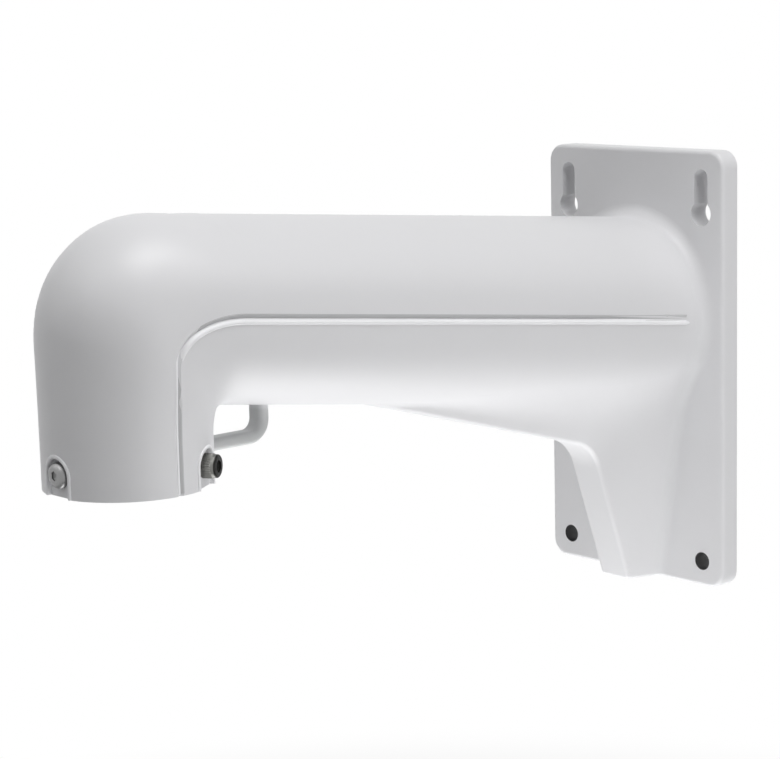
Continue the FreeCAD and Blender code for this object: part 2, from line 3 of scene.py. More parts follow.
import math

import bpy
import numpy as np
from bpy.props import FloatProperty, FloatVectorProperty, PointerProperty
from mathutils import Matrix, Vector


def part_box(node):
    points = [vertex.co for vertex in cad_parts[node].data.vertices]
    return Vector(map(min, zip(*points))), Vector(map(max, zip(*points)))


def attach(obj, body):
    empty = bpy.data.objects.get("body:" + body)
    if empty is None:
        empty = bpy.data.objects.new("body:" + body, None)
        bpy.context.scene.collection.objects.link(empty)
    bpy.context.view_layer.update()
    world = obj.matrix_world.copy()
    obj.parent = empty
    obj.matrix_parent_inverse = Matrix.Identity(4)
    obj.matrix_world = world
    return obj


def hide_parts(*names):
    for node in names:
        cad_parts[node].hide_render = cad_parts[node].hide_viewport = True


bl_info = {
    "name": "Camera wall bracket",
    "version": (1, 0, 0),
    "blender": (4, 5, 0),
    "location": "3D View > Sidebar > Bracket",
    "description": "Dresses the bracket's casting, makes its screws, and lights the stage",
    "category": "Add Mesh",
}

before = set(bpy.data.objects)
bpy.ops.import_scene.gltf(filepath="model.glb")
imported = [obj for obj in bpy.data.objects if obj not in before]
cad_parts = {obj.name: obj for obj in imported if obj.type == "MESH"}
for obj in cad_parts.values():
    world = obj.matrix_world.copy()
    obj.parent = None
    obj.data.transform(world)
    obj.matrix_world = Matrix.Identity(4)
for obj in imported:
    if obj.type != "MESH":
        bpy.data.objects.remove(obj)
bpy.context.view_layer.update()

MM = 0.001
WHITE = (1.0, 1.0, 1.0, 1.0)

# The plate. Down to the screws, sizes are in millimetres and heights from the plate's middle
CASTING_LOW, CASTING_HIGH = (np.array(corner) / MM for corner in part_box("bracket_casting"))
PLATE_WIDTH = CASTING_HIGH[1] - CASTING_LOW[1]
PLATE_HEIGHT = CASTING_HIGH[2] - CASTING_LOW[2]
PLATE_MIDDLE = 0.5 * (CASTING_HIGH[2] + CASTING_LOW[2])
PLATE_FRONT = 9.3
PLATE_COVE = 5.0

# The arm: a leaning cone between a top and a bottom line that rise from the plate
ARM_SIDE_MARGIN = 8.5
WIDEST_START = 22.3
WIDEST_RISE = 0.114
TOP_RISE = 0.0895
BOTTOM_RISE = 2.0 * WIDEST_RISE - TOP_RISE
ARM_HALF_HEIGHT = 0.5 * PLATE_WIDTH - ARM_SIDE_MARGIN
APEX_X = PLATE_FRONT + ARM_HALF_HEIGHT / (WIDEST_RISE - TOP_RISE)
APEX_Z = WIDEST_START + WIDEST_RISE * (APEX_X - PLATE_FRONT)
AXIS_ANGLE = 0.5 * (math.atan(BOTTOM_RISE) + math.atan(TOP_RISE))
CONE_ANGLE = 0.5 * (math.atan(BOTTOM_RISE) - math.atan(TOP_RISE))

# The gusset: a line that leans up from its foot, a round knee and a keel line
FOOT_LENGTH = 12.9
LEAN = 0.35
LEAN_X = PLATE_FRONT + FOOT_LENGTH
LEAN_Z = -0.5 * PLATE_HEIGHT
LEAN_LENGTH = math.hypot(1.0, LEAN)
KEEL_RISE = 0.282
KEEL_START = -40.1
KEEL_LENGTH = math.hypot(1.0, KEEL_RISE)
EDGE_HALF_WIDTH = 7.7
EDGE_RADIUS = 2.4
SIDE_SPREAD = 0.5

# The knee: its centre lies its radius away from both lines, and it ends where it touches them
KNEE_RADIUS = 20.0
KNEE_START = KEEL_START - KEEL_RISE * PLATE_FRONT - KNEE_RADIUS * KEEL_LENGTH
KNEE_RUN = LEAN_X + KNEE_RADIUS * LEAN_LENGTH + LEAN * (KNEE_START - LEAN_Z)
KNEE_X = KNEE_RUN / (1.0 - LEAN * KEEL_RISE)
KNEE_Z = KNEE_START + KEEL_RISE * KNEE_X
KNEE_LEAN_X = KNEE_X - KNEE_RADIUS / LEAN_LENGTH
KNEE_KEEL_X = KNEE_X - KNEE_RADIUS * KEEL_RISE / KEEL_LENGTH
KNEE_LEAN_ANGLE = 180.0 - math.degrees(math.atan(LEAN))
KNEE_KEEL_ANGLE = 90.0 + math.degrees(math.atan(KEEL_RISE))

# The soft cove: its end, its pull to the corner, its room on the gusset, and how it sinks in
COVE_END_X = 150.0
COVE_WEIGHT = 1.4
COVE_SHARE = 0.92
LEAST_DROP = 0.3
TURN_SHARE = 0.6
REACH_OVER_DROP = 1.3
JOINT_DEEPEST = 42.0
JOINT_SHALLOWEST = 14.0
HALVINGS = 40
BORDER_RUN = 1.5
BORDER_SINK = 0.35
BACK_DEPTH = 1.5
INNER_DEPTH = 2.0
LEAST_INNER = 1.0
ABOVE_JOINT = 0.5
CROSS_ROOM = (0.2, 0.1)
INTO_PLATE = 0.6
PLATE_COVE_ROWS = 16
ARM_COVE_ROWS = 110
COVE_COLUMNS = 27
SHORT_WAY = 0.05

# The bend and the socket
REACH = 305.0
SOCKET_RADIUS = 30.3
RIM_HEIGHT = -9.3
INNER_RADIUS = 6.0
AXIS_X = REACH - SOCKET_RADIUS
PIVOT_X = AXIS_X - SOCKET_RADIUS - INNER_RADIUS

# The groove: its start, how it deepens, and the quarter of an ellipse that it turns on
DEEPENS_FROM = PLATE_FRONT + 10.0
GROOVE_START = DEEPENS_FROM - 0.8
DEEPENS_OVER = 54.8
LEAST_DEPTH = 0.06
BEND_RUN = 28.5
BEND_FALL = 16.7
BEND_POINTS = 40
ARM_POINTS = 80
FALL_POINTS = 15
LAST_ABOVE_RIM = (0.8, 0.4)
SIDE_CURVE_RADIUS = 42.0
END_SINK = 0.7
BELOW_SURFACE = -1.3

# The screws' seats, and the rounded rims round them
SEAT_TURNS = (0.0, 120.0, 240.0)
SEAT_HALF_WIDTH = 6.3
SCREW_ABOVE_RIM = 7.7
SEAT_MIDDLE = RIM_HEIGHT + SCREW_ABOVE_RIM
SIDE_START = RIM_HEIGHT + 0.05
SIDE_POINTS = 11
ARCH_POINTS = 49
SECTION_POINTS = 13
RIM_OVERLAP = 0.3
RIM_DIP = 0.12

# The screws, in metres: places, threads, keys, knurl, dome and numbers of facets
SOCKET_AXIS_X = AXIS_X * MM
SCREW_HEIGHT = (PLATE_MIDDLE + SEAT_MIDDLE) * MM
SEAT_FROM_AXIS = 28.4 * MM
THREAD_PITCH = 0.8 * MM
THREAD_DEPTH = 0.42 * MM
KEY_CHAMFER = 0.12 * MM
KEY_CONE = 0.6 * MM
FRONT_KEY = 3.0 * MM
FRONT_KEY_DEPTH = 0.7 * MM
FRONT_COLUMNS = 144
SIDE_KEY = 4.0 * MM
SIDE_KEY_DEPTH = 2.6 * MM
SIDE_COLUMNS = 216
RIDGES = 36
RIDGE_DEPTH = 0.28 * MM
RIDGE_POWER = 1.6
DOME_POINTS = 12
DOME_FOOT = 0.2
DOME_FLAT = 0.52

# The paint: painted shade in the lower wall holes and on the wire loop under the arm, as metres
# where MM stands
HOLE_FROM_EDGE = 11.0
HOLE_SIDE = (0.5 * PLATE_WIDTH - HOLE_FROM_EDGE) * MM
HOLE_EDGE = 3.82 * MM
# painted shade: the bores' walls are painted nearly black, as the shade deep in the holes
HOLE_SHADE_COLOUR = (0.05, 0.05, 0.052, 1.0)
LOOP_FROM_AXIS = 62.2
LOOP_CLEARANCE = 0.2
LOOP_HALF_WIDTH = 4.1 * MM
LOOP_START = (AXIS_X - LOOP_FROM_AXIS) * MM
LOOP_END = (AXIS_X - SOCKET_RADIUS - LOOP_CLEARANCE) * MM
LOOP_FADE_TOP = 62.2 * MM
LOOP_FADE_END = 59.8 * MM
# painted shade: the wire loop's paint is darker, as the shade under the arm
LOOP_SHADE_COLOUR = (0.57, 0.58, 0.58, 1.0)
CLOUD_SHADE = 0.985

# The side screws' nearly black ends, a painted dark reflection: their shade, and how far before
# the end face it starts and is full
END_PAINTED_REFLECTION = 0.1
END_FADE = (0.75 * MM, 0.45 * MM)

# Least and most roughness of the steel
FRONT_ROUGHNESS = (0.22, 0.42)
SIDE_ROUGHNESS = (0.28, 0.5)

# Degrees past which an edge is shaded as sharp
SHARP_ANGLE = 38.0


class CastingSettings(bpy.types.PropertyGroup):
    """Finish of the painted casting."""

    paint: FloatVectorProperty(
        name="Paint", description="Colour of the powder coat", subtype="COLOR",
        size=3, min=0.0, max=1.0, default=(0.76, 0.76, 0.775))
    roughness: FloatProperty(
        name="Roughness", description="How matt the coat is",
        min=0.0, max=1.0, subtype="FACTOR", default=0.42)
    peel: FloatProperty(
        name="Orange peel", description="Height of the coat's fine waves",
        unit="LENGTH", subtype="DISTANCE", min=0.0, default=0.00004)


class DetailSettings(bpy.types.PropertyGroup):
    """Sizes of the soft forms cast onto the arm and the socket."""

    cove_drop: FloatProperty(
        name="Cove drop", description="How far the soft cove runs down the gusset",
        unit="LENGTH", subtype="DISTANCE", min=0.0, default=22.0 * MM)
    cove_reach: FloatProperty(
        name="Cove reach", description="How far the soft cove runs up the arm",
        unit="LENGTH", subtype="DISTANCE", min=0.0, default=14.0 * MM)
    lip_height: FloatProperty(
        name="Lip height", description="Height of the rounded lip below the groove",
        unit="LENGTH", subtype="DISTANCE", min=0.0, default=0.45 * MM)
    # painted highlight: the lip's paint is lighter, as the light along it
    lip_painted_highlight: FloatProperty(
        name="Lip shade", description="Paint on the lip against the paint elsewhere",
        min=0.0, default=1.2)
    # painted shade: the groove's paint is darker, as the shade in it
    gap_painted_shade: FloatProperty(
        name="Gap shade", description="Paint in the groove against the paint elsewhere",
        min=0.0, default=0.74)
    rim_width: FloatProperty(
        name="Rim width", description="Width of the rounded rim round a screw's seat",
        unit="LENGTH", subtype="DISTANCE", min=0.0, default=1.35 * MM)
    rim_height: FloatProperty(
        name="Rim height", description="Height of the rounded rim round a screw's seat",
        unit="LENGTH", subtype="DISTANCE", min=0.0, default=0.45 * MM)
    # painted highlight: the rims' paint is lighter, as the light on their rounded edges
    rim_painted_highlight: FloatProperty(
        name="Rim shade", description="Lightness of the rims against the paint",
        min=0.0, default=1.15)


class ScrewSettings(bpy.types.PropertyGroup):
    """Sizes of the clamping screws."""

    shank_radius: FloatProperty(
        name="Shank radius", description="Outer radius of the thread",
        unit="LENGTH", subtype="DISTANCE", default=2.45 * MM)
    shank_length: FloatProperty(
        name="Shank length", description="Length below the head",
        unit="LENGTH", subtype="DISTANCE", default=4.3 * MM)
    cap_radius: FloatProperty(
        name="Cap head radius", description="Radius of the tall side heads",
        unit="LENGTH", subtype="DISTANCE", default=4.4 * MM)
    cap_height: FloatProperty(
        name="Cap head height", description="Height of the tall side heads",
        unit="LENGTH", subtype="DISTANCE", default=5.9 * MM)
    button_radius: FloatProperty(
        name="Button head radius", description="Radius of the low front head",
        unit="LENGTH", subtype="DISTANCE", default=4.75 * MM)
    button_height: FloatProperty(
        name="Button head height", description="Height of the low front head",
        unit="LENGTH", subtype="DISTANCE", default=2.75 * MM)
    steel: FloatVectorProperty(
        name="Steel", description="Colour of the front screw", subtype="COLOR",
        size=3, min=0.0, max=1.0, default=(0.24, 0.24, 0.24))
    dark_steel: FloatVectorProperty(
        name="Dark steel", description="Colour of the side screws", subtype="COLOR",
        size=3, min=0.0, max=1.0, default=(0.2, 0.2, 0.19))


class StageSettings(bpy.types.PropertyGroup):
    """Floor, lamps and background."""

    floor_height: FloatProperty(
        name="Floor height", description="Height of the floor in the bracket's frame",
        unit="LENGTH", subtype="DISTANCE", default=-0.26)
    world_level: FloatProperty(
        name="World level", description="Even light from all round",
        min=0.0, default=0.0)


# Materials

def add_node(tree, kind, **values):
    """A node of a kind with its sockets and properties set by name."""
    node = tree.nodes.new(kind)
    for name, value in values.items():
        if name in node.inputs:
            node.inputs[name].default_value = value
        else:
            setattr(node, name, value)
    return node


def the_paint():
    """The casting's powder coat, made by the casting's own step."""
    material = bpy.data.materials.get("satin_powder_coat")
    if material is None:
        raise RuntimeError("the casting has to be dressed first")
    return material


def new_material(name):
    """An empty node material with its tree, surface output and Principled shader."""
    material = bpy.data.materials.new(name)
    material.use_nodes = True
    tree = material.node_tree
    tree.nodes.clear()
    output = add_node(tree, "ShaderNodeOutputMaterial")
    shader = add_node(tree, "ShaderNodeBsdfPrincipled")
    tree.links.new(shader.outputs["BSDF"], output.inputs["Surface"])
    return material, tree, shader


def math_node(tree, operation, *values):
    """Result of a math node on values, each of them a number or another node's output."""
    node = add_node(tree, "ShaderNodeMath", operation=operation)
    for number, value in enumerate(values):
        if isinstance(value, bpy.types.NodeSocket):
            tree.links.new(value, node.inputs[number])
        else:
            node.inputs[number].default_value = value
    return node.outputs[0]


def place_parts(tree, place):
    """X, distance from the middle plane, and Z of a point in the object's own frame."""
    apart = add_node(tree, "ShaderNodeSeparateXYZ")
    tree.links.new(place.outputs["Object"], apart.inputs["Vector"])
    return apart.outputs["X"], math_node(tree, "ABSOLUTE", apart.outputs["Y"]), apart.outputs["Z"]


def bore_shade_mask(tree, place):
    """1 inside the two lower wall holes, where shade is painted, by the distance from their axes,
    else 0.
    """
    _, side, height = place_parts(tree, place)
    spot = add_node(tree, "ShaderNodeCombineXYZ")
    tree.links.new(side, spot.inputs["Y"])
    tree.links.new(height, spot.inputs["Z"])
    away = add_node(tree, "ShaderNodeVectorMath", operation="DISTANCE")
    tree.links.new(spot.outputs["Vector"], away.inputs[0])
    away.inputs[1].default_value = (0.0, HOLE_SIDE, 0.0)
    return math_node(tree, "LESS_THAN", away.outputs["Value"], HOLE_EDGE)


def loop_shade_mask(tree, place):
    """1 on the wire loop, where shade is painted, else 0: inside a narrow box under the arm's
    rising bottom line.
    """
    along, side, height = place_parts(tree, place)
    narrow = math_node(tree, "LESS_THAN", side, LOOP_HALF_WIDTH)
    past = math_node(tree, "GREATER_THAN", along, LOOP_START)
    short = math_node(tree, "LESS_THAN", along, LOOP_END)
    level = math_node(tree, "MULTIPLY_ADD", along, -BOTTOM_RISE, height)
    under = add_node(tree, "ShaderNodeMapRange")
    under.inputs["From Min"].default_value = LOOP_FADE_TOP
    under.inputs["From Max"].default_value = LOOP_FADE_END
    tree.links.new(level, under.inputs["Value"])
    first = math_node(tree, "MULTIPLY", narrow, past)
    second = math_node(tree, "MULTIPLY", short, under.outputs["Result"])
    return math_node(tree, "MULTIPLY", first, second)


def mixed(tree, factor, first, second):
    """Colour between a first and a second, each of them a colour or another node's output.

    The node has inputs A and B for each kind of value, so its colours are reached by number.
    """
    mix = add_node(tree, "ShaderNodeMix", data_type="RGBA")
    tree.links.new(factor, mix.inputs["Factor"])
    for number, value in ((6, first), (7, second)):
        if isinstance(value, bpy.types.NodeSocket):
            tree.links.new(value, mix.inputs[number])
        else:
            mix.inputs[number].default_value = value
    return mix.outputs[2]


def paint_material(settings, name="satin_powder_coat", shade=1.0):
    """Satin powder coat: one colour with a faint cloudiness and a fine orange peel, with painted
    shade on the wire loop and in the lower wall holes."""
    material, tree, shader = new_material(name)
    place = add_node(tree, "ShaderNodeTexCoord")
    cloud = add_node(tree, "ShaderNodeTexNoise", Scale=35.0, Detail=3.0, Roughness=0.55)
    tree.links.new(place.outputs["Object"], cloud.inputs["Vector"])
    # painted light: a shade above 1 paints a highlight, below 1 paints shade
    light = [channel * shade for channel in settings.paint]
    dark = [channel * CLOUD_SHADE for channel in light]
    coat = mixed(tree, cloud.outputs["Fac"], dark + [1.0], light + [1.0])
    # painted shade on the wire loop
    coat = mixed(tree, loop_shade_mask(tree, place), coat, LOOP_SHADE_COLOUR)
    # painted shade in the lower wall holes
    coat = mixed(tree, bore_shade_mask(tree, place), coat, HOLE_SHADE_COLOUR)
    tree.links.new(coat, shader.inputs["Base Color"])
    peel = add_node(tree, "ShaderNodeTexNoise", Scale=900.0, Detail=2.0, Roughness=0.5)
    tree.links.new(place.outputs["Object"], peel.inputs["Vector"])
    bump = add_node(tree, "ShaderNodeBump", Strength=0.12, Distance=settings.peel)
    tree.links.new(peel.outputs["Fac"], bump.inputs["Height"])
    tree.links.new(bump.outputs["Normal"], shader.inputs["Normal"])
    shader.inputs["Roughness"].default_value = settings.roughness
    return material


def steel_material(name, colour, low, high):
    """Steel with a fine turned grain, its roughness between a low and a high value."""
    material, tree, shader = new_material(name)
    shader.inputs["Base Color"].default_value = list(colour) + [1.0]
    shader.inputs["Metallic"].default_value = 1.0
    place = add_node(tree, "ShaderNodeTexCoord")
    grain = add_node(tree, "ShaderNodeTexNoise", Scale=2500.0, Detail=3.0, Roughness=0.6)
    tree.links.new(place.outputs["Object"], grain.inputs["Vector"])
    spread = add_node(tree, "ShaderNodeMapRange")
    spread.inputs["To Min"].default_value = low
    spread.inputs["To Max"].default_value = high
    tree.links.new(grain.outputs["Fac"], spread.inputs["Value"])
    tree.links.new(spread.outputs["Result"], shader.inputs["Roughness"])
    return material


def dark_steel_material(settings):
    """Dull steel with a painted dark reflection that makes it nearly black on the heads' ends.

    The distance along a side screw is the cosine of its seat's turn times the distance past
    the socket's axis, and the sine times the distance from the middle plane.
    """
    material = steel_material("dark_steel", settings.dark_steel, *SIDE_ROUGHNESS)
    tree = material.node_tree
    shader = next(node for node in tree.nodes if node.type == "BSDF_PRINCIPLED")
    place = add_node(tree, "ShaderNodeTexCoord")
    forward, side, _ = place_parts(tree, place)
    angle = math.radians(SEAT_TURNS[1])
    start = -math.cos(angle) * SOCKET_AXIS_X
    across = math_node(tree, "MULTIPLY_ADD", side, math.sin(angle), start)
    along = math_node(tree, "MULTIPLY_ADD", forward, math.cos(angle), across)
    end = SEAT_FROM_AXIS + settings.cap_height
    part = add_node(tree, "ShaderNodeMapRange")
    part.inputs["From Min"].default_value = end - END_FADE[0]
    part.inputs["From Max"].default_value = end - END_FADE[1]
    tree.links.new(along, part.inputs["Value"])
    dull = list(settings.dark_steel)
    # painted dark reflection on the heads' ends
    black = [END_PAINTED_REFLECTION * channel for channel in dull]
    colour = mixed(tree, part.outputs["Result"], dull + [1.0], black + [1.0])
    tree.links.new(colour, shader.inputs["Base Color"])
    return material


# Meshes

def grid_faces(rows, columns):
    """Quads of a grid that closes on itself along its columns, and fans at both ends.

    The first and last vertex of the piece are its two poles.
    """
    row = np.arange(rows - 1)[:, None]
    column = np.arange(columns)[None, :]
    after = (column + 1) % columns
    a = 1 + row * columns + column
    b = 1 + row * columns + after
    c = 1 + (row + 1) * columns + after
    d = 1 + (row + 1) * columns + column
    quads = np.stack([a, b, c, d], axis=-1).reshape(-1, 4)
    ring = np.arange(columns)
    turn = (ring + 1) % columns
    start = np.stack([np.zeros(columns, dtype=int), 1 + turn, 1 + ring], axis=-1)
    last = 1 + (rows - 1) * columns
    end = np.stack([np.full(columns, 1 + rows * columns), last + ring, last + turn], axis=-1)
    return quads, np.vstack([start, end])


def make_piece(name, points, quads, triangles, material):
    """A mesh object from arrays, at the origin, that rides on the bracket's one body."""
    mesh = bpy.data.meshes.new(name)
    mesh.from_pydata(points.tolist(), [], quads.tolist() + triangles.tolist())
    mesh.validate()
    mesh.shade_smooth()
    mesh.set_sharp_from_angle(angle=math.radians(SHARP_ANGLE))
    mesh.materials.append(material)
    piece = bpy.data.objects.new(name, mesh)
    bpy.context.scene.collection.objects.link(piece)
    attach(piece, "root")
    return piece


def joined(bodies):
    """Points, quads and triangles of several closed bodies as one set of arrays."""
    counts = [len(points) for points, _, _ in bodies]
    starts = np.cumsum([0] + counts[:-1])
    return (np.vstack([points for points, _, _ in bodies]),
            np.vstack([quads + start for (_, quads, _), start in zip(bodies, starts)]),
            np.vstack([fans + start for (_, _, fans), start in zip(bodies, starts)]))


def carried(rings, mirrored):
    """Arrays of a closed body whose rings of points follow each other, with a pole at each end.

    With mirrored set, a second body is its image across the middle plane. Faces are turned
    outwards: they are reversed where the sum of each quad's middle times its area vector,
    which has the sign of the volume, is negative.
    """
    rows, columns = rings.shape[:2]
    start = rings[0].mean(axis=0, keepdims=True)
    end = rings[-1].mean(axis=0, keepdims=True)
    points = np.vstack([start, rings.reshape(-1, 3), end])
    quads, fans = grid_faces(rows, columns)
    a, b, c, d = (points[quads[:, k]] for k in range(4))
    outwards = np.sum(np.cross(c - a, d - b) * (a + b + c + d))
    if outwards < 0.0:
        quads, fans = quads[:, ::-1], fans[:, ::-1]
    if not mirrored:
        return points, quads, fans
    other = points * np.array([1.0, -1.0, 1.0])
    return joined([(points, quads, fans), (other, quads[:, ::-1], fans[:, ::-1])])


def to_frame(points):
    """Millimetres with heights from the plate's middle, moved to the frame's metres."""
    return (points + np.array([0.0, 0.0, PLATE_MIDDLE])) * MM


def turned(points, degrees, axis_x):
    """Points given from the socket's axis, turned about it and moved to its place.

    The new X is the axis's X, plus X times the cosine, less Y times the sine; the new Y is X
    times the sine plus Y times the cosine.
    """
    angle = math.radians(degrees)
    x, y, z = points[..., 0], points[..., 1], points[..., 2]
    return np.stack([
        axis_x + x * math.cos(angle) - y * math.sin(angle),
        x * math.sin(angle) + y * math.cos(angle),
        z,
    ], axis=-1)


def arm_middle(x):
    """Height of the arm's widest line: a straight line that rises from the plate."""
    return WIDEST_START + WIDEST_RISE * (x - PLATE_FRONT)


def arm_bottom(x):
    """Height of the arm's bottom line, which rises a little more than the widest line."""
    return WIDEST_START - ARM_HALF_HEIGHT + BOTTOM_RISE * (x - PLATE_FRONT)


def arm_side(x, z):
    """Half the arm's width: the squared radius of the cone at its distance from the apex,
    less the squared offset in the middle plane, under a square root."""
    along = (APEX_X - x) * math.cos(AXIS_ANGLE) + (APEX_Z - z) * math.sin(AXIS_ANGLE)
    left = (along / math.cos(CONE_ANGLE)) ** 2 - (APEX_X - x) ** 2 - (APEX_Z - z) ** 2
    return np.sqrt(np.maximum(left, 0.0))


def free_edge(x):
    """Height of the gusset's free edge: a leaning line, an arc about the knee's centre and
    the keel line, one after the other."""
    lean = LEAN_Z + (x - LEAN_X) / LEAN
    arc = KNEE_Z + np.sqrt(np.maximum(KNEE_RADIUS ** 2 - (x - KNEE_X) ** 2, 0.0))
    keel = KEEL_START + KEEL_RISE * (x - PLATE_FRONT)
    return np.where(x < KNEE_LEAN_X, lean, np.where(x < KNEE_KEEL_X, arc, keel))


def gusset_side(x, z):
    """Half the gusset's width: half its width at the free edge, plus a share of the distance
    inwards from the lean line, the knee's arc or the keel line."""
    lean = (LEAN_X + LEAN * (z - LEAN_Z) - x) / LEAN_LENGTH
    keel = (z - KEEL_START - KEEL_RISE * (x - PLATE_FRONT)) / KEEL_LENGTH
    knee = np.hypot(x - KNEE_X, z - KNEE_Z) - KNEE_RADIUS
    angle = np.degrees(np.arctan2(z - KNEE_Z, x - KNEE_X))
    on_knee = (angle > KNEE_KEEL_ANGLE) & (angle < KNEE_LEAN_ANGLE)
    return EDGE_HALF_WIDTH + SIDE_SPREAD * np.where(on_knee, knee, np.maximum(lean, keel))


def slope(side, x, z):
    """Change of a side's half width with height, over a short way up and down."""
    step = 0.02
    return (side(x, z + step) - side(x, z - step)) / (2.0 * step)


def soft_least(*values):
    """A smooth least of positive values: the sum of their powers of -4, to the power -1/4."""
    return sum(value ** -4.0 for value in values) ** -0.25


def cove_rows(x, reach, drop, share):
    """Rows of the soft cove in planes across X, and the height of the joint in each plane.

    The joint, where arm and gusset are as wide as each other, is found by halving the way
    between two depths below the widest line. Each row is a conic that rounds it: it leaves
    the arm along the arm's slope, ends on the gusset along the gusset's slope, and is drawn
    by a weight towards the point where both slopes cross.
    """
    low = arm_middle(x) - JOINT_DEEPEST
    high = arm_middle(x) - JOINT_SHALLOWEST
    for _ in range(HALVINGS):
        middle = 0.5 * (low + high)
        wider = arm_side(x, middle) > gusset_side(x, middle)
        high = np.where(wider, middle, high)
        low = np.where(wider, low, middle)
    joint = 0.5 * (low + high)
    room = np.maximum(COVE_SHARE * (joint - free_edge(x) - EDGE_RADIUS), LEAST_DROP)
    down = soft_least(drop, room)
    angle = np.arctan(slope(arm_side, x, joint))
    turn = angle - np.arctan(slope(gusset_side, x, joint))
    radius = arm_side(x, arm_middle(x))
    up = soft_least(reach, TURN_SHARE * radius * turn, REACH_OVER_DROP * down)
    top_z = joint + up * np.cos(angle - 0.5 * up / radius)
    end_z = joint - down
    top_y = arm_side(x, top_z)
    end_y = gusset_side(x, end_z)
    top_slope = slope(arm_side, x, top_z)
    end_slope = slope(gusset_side, x, end_z)
    cross_z = (end_y - top_y + top_slope * top_z - end_slope * end_z) / (top_slope - end_slope)
    cross_z = np.clip(cross_z, end_z + CROSS_ROOM[0] * down, top_z - CROSS_ROOM[1] * up)
    cross_y = end_y + end_slope * (cross_z - end_z)
    first = ((1.0 - share) ** 2)[None, :]
    second = (2.0 * COVE_WEIGHT * share * (1.0 - share))[None, :]
    third = (share ** 2)[None, :]
    total = first + second + third
    y = (first * top_y[:, None] + second * cross_y[:, None] + third * end_y[:, None]) / total
    z = (first * top_z[:, None] + second * cross_z[:, None] + third * end_z[:, None]) / total
    return y, z, joint


def cove_rings(reach, drop):
    """Rings of the cove between the arm and the gusset.

    In front of the plate each point is moved out along the row's normal as on the plate's
    own round cove: the circle that touches the plate and the sloping side. The way out is
    the radius times what the slope's length has over the fall, plus the fall times the
    distance from the plate, less the circle's own height there.
    """
    turn = np.linspace(0.0, 0.5 * math.pi, PLATE_COVE_ROWS)
    close = PLATE_FRONT + PLATE_COVE * (1.0 - np.cos(turn))
    away = np.linspace(PLATE_FRONT + PLATE_COVE, COVE_END_X, ARM_COVE_ROWS)[1:]
    x = np.concatenate([close, away])
    # the points of a row lie close together at both borders
    share = np.concatenate([[0.0, 0.004], np.linspace(0.03, 0.97, COVE_COLUMNS), [0.996, 1.0]])
    y, z, joint = cove_rows(x, reach, drop, share)
    later_y, later_z, _ = cove_rows(x + SHORT_WAY, reach, drop, share)
    along_y = np.gradient(y, axis=1)
    along_z = np.gradient(z, axis=1)
    length = np.hypot(along_y, along_z)
    normal_y, normal_z = -along_z / length, along_y / length
    fall = -((later_y - y) * normal_y + (later_z - z) * normal_z) / SHORT_WAY
    fall = np.maximum(fall, 0.0)
    root = np.sqrt(1.0 + fall ** 2)
    depth = np.minimum(x - PLATE_FRONT, PLATE_COVE)[:, None]
    touch = PLATE_COVE * (1.0 - fall / root)
    arc = np.sqrt(np.maximum(PLATE_COVE ** 2 - (PLATE_COVE - depth) ** 2, 0.0))
    round_part = PLATE_COVE * (root - fall) + fall * depth - arc
    lift = np.where(depth < touch, round_part, 0.0)
    y, z = y + lift * normal_y, z + lift * normal_z
    # the long borders run on along the casting and sink into it, then the back closes the ring
    step_y, step_z = along_y / length, along_z / length

    def moved(column, run, sink):
        """A border moved along the row by a run and into the casting by a sink."""
        return (y[:, column] + run * step_y[:, column] - sink * normal_y[:, column],
                z[:, column] + run * step_z[:, column] - sink * normal_z[:, column])

    top = moved(0, -BORDER_RUN, BORDER_SINK)
    bottom = moved(-1, BORDER_RUN, BORDER_SINK)
    back = (moved(-1, 0.0, BACK_DEPTH),
            (np.maximum(gusset_side(x, joint) - INNER_DEPTH, LEAST_INNER),
             joint + ABOVE_JOINT),
            moved(0, 0.0, BACK_DEPTH))
    ring_y = np.column_stack([top[0], y, bottom[0]] + [row[0] for row in back])
    ring_z = np.column_stack([top[1], z, bottom[1]] + [row[1] for row in back])
    ring_x = np.repeat(x[:, None], ring_y.shape[1], axis=1)
    rings = np.stack([ring_x, ring_y, ring_z], axis=-1)
    # the first ring goes on into the plate
    return np.vstack([rings[:1] - np.array([INTO_PLATE, 0.0, 0.0]), rings])


def groove_path():
    """Points of the widest line, the direction across it and half the width there.

    A straight rise, a quarter of an ellipse round the bend, and a straight fall to the rim.
    The half width goes smoothly from the arm's to the socket's with the turn about the
    bend's pivot.
    """
    turn = np.linspace(0.0, 0.5 * math.pi, BEND_POINTS)
    back = BEND_RUN * (1.0 - np.sin(turn))
    bend_x = AXIS_X - back
    bend_z = arm_middle(AXIS_X) - WIDEST_RISE * back - BEND_FALL * (1.0 - np.cos(turn))
    straight_x = np.linspace(GROOVE_START, bend_x[0], ARM_POINTS)[:-1]
    fall_z = np.linspace(bend_z[-1], RIM_HEIGHT + LAST_ABOVE_RIM[0], FALL_POINTS)[1:]
    fall_z = np.append(fall_z, RIM_HEIGHT + LAST_ABOVE_RIM[1])
    x = np.concatenate([straight_x, bend_x, np.full(len(fall_z), AXIS_X)])
    z = np.concatenate([arm_middle(straight_x), bend_z, fall_z])
    step_x, step_z = np.gradient(x), np.gradient(z)
    length = np.hypot(step_x, step_z)
    across = np.stack([-step_z / length, np.zeros_like(x), step_x / length], axis=-1)
    pivot_z = arm_bottom(PIVOT_X) - INNER_RADIUS
    angle = np.arctan2(np.maximum(x - PIVOT_X, 0.0), np.maximum(z - pivot_z, 1e-6))
    part = np.clip(angle / (0.5 * math.pi), 0.0, 1.0)
    part = np.where(z < pivot_z, 1.0, part * part * (3.0 - 2.0 * part))
    on_arm = np.minimum(x, PIVOT_X)
    arm = arm_side(on_arm, arm_middle(on_arm))
    half = arm + part * (SOCKET_RADIUS - arm)
    return np.stack([x, np.zeros_like(x), z], axis=-1), across, half


